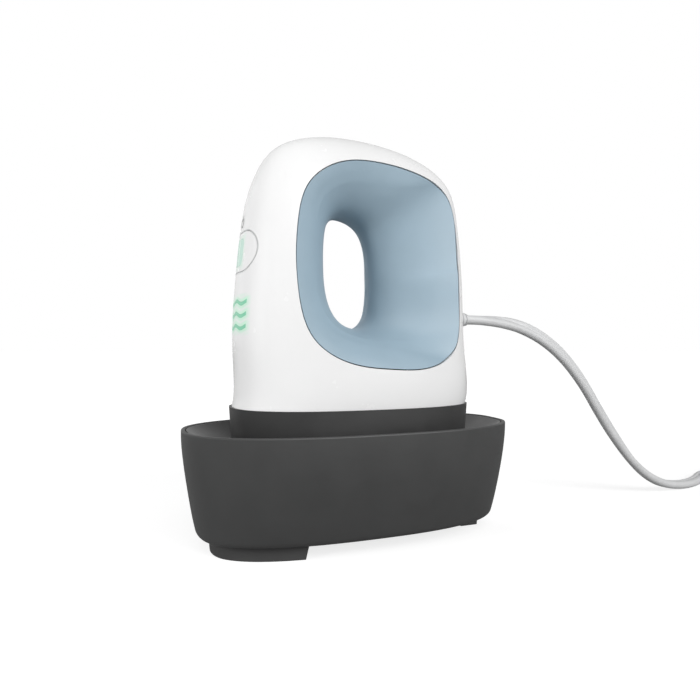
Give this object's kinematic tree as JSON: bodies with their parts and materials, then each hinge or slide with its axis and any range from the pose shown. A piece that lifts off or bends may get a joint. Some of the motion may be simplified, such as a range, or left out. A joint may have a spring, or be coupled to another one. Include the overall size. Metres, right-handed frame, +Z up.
{
  "type": "handheld heat press",
  "caption": "Small handheld heat press with a white arched housing, a blue-lined hand hole, an end button and a flat heat plate, parked in a dark insulated base with a mains cord.",
  "frame": {"origin": "centre of the base, on the surface that it stands on", "axes": "+X along the press towards its cord, -X is the end with the button; +Z up; -Y is the side with the wider view of the hand hole"},
  "size_m": [0.3415, 0.1015, 0.1396],
  "materials": {
    "white_shell": "satin",
    "blue_liner": "satin",
    "charcoal_base": "matt, finely grained",
    "black_cradle": "matt",
    "charcoal_skirt": "matt",
    "foot_grey": "matt",
    "red_silicone": "matt",
    "reflector_sheet": "bright",
    "coated_plate": "hard coated, satin",
    "element_steel": "heat-darkened",
    "steel": "zinc plated",
    "brass": "bright",
    "fibre_sheet": "matt felt",
    "mint_print": "satin",
    "ring_grey": "satin",
    "light_guide": "clear, lit mint",
    "board_green": "solder mask",
    "black_plastic": "satin",
    "blue_plastic": "satin",
    "green_plastic": "satin",
    "can": "bright",
    "wire_jacket": "satin",
    "cord_grey": "satin"
  },
  "bodies": {
    "base": {"base_shell": "charcoal_base", "base_cradle": "black_cradle", "heat_reflector": "reflector_sheet", "rest_pads": "red_silicone", "base_screws": "steel", "front_foot": "foot_grey", "rear_foot": "foot_grey"},
    "press": {"heat_plate": "coated_plate", "heating_element": "element_steel", "element_terminals": "brass", "insulation_pad": "fibre_sheet", "plate_standoffs": "steel", "plate_screws": "steel", "thermistor": "black_plastic", "thermal_fuse": "can", "heat_skirt": "charcoal_skirt", "housing_shell": "white_shell", "grip_liner_right": "blue_liner", "grip_liner_left": "blue_liner", "housing_screws": "steel", "button_bezel": "ring_grey", "wave_light_guides": "light_guide", "control_board": "board_green", "tact_switch": "black_plastic", "indicator_lights": "light_guide", "controller_chip": "black_plastic", "power_board": "board_green", "board_screws": "steel", "relay": "blue_plastic", "filter_capacitor": "can", "triac": "black_plastic", "terminal_block": "green_plastic", "heater_wires": "wire_jacket", "mains_wires": "wire_jacket", "signal_ribbon": "wire_jacket", "strain_relief": "cord_grey", "cord_clamp": "black_plastic", "clamp_screws": "steel", "cord": "cord_grey", "cord_coil": "cord_grey", "plug_lead": "cord_grey", "plug_body": "cord_grey", "plug_blades": "brass"},
    "power_button": {"button_cap": "white_shell", "button_lens": "mint_print", "switch_plunger": "black_plastic"}
  },
  "joints": [
    {"name": "press_lift", "type": "slide", "parent": "base", "child": "press", "axis": [0, 0, 1], "range_m": [0, 0.05]},
    {"name": "button_press", "type": "slide", "parent": "press", "child": "power_button", "axis": [1, 0, 0], "range_m": [0, 0.0008], "stiffness_N_per_m": 800}
  ]
}
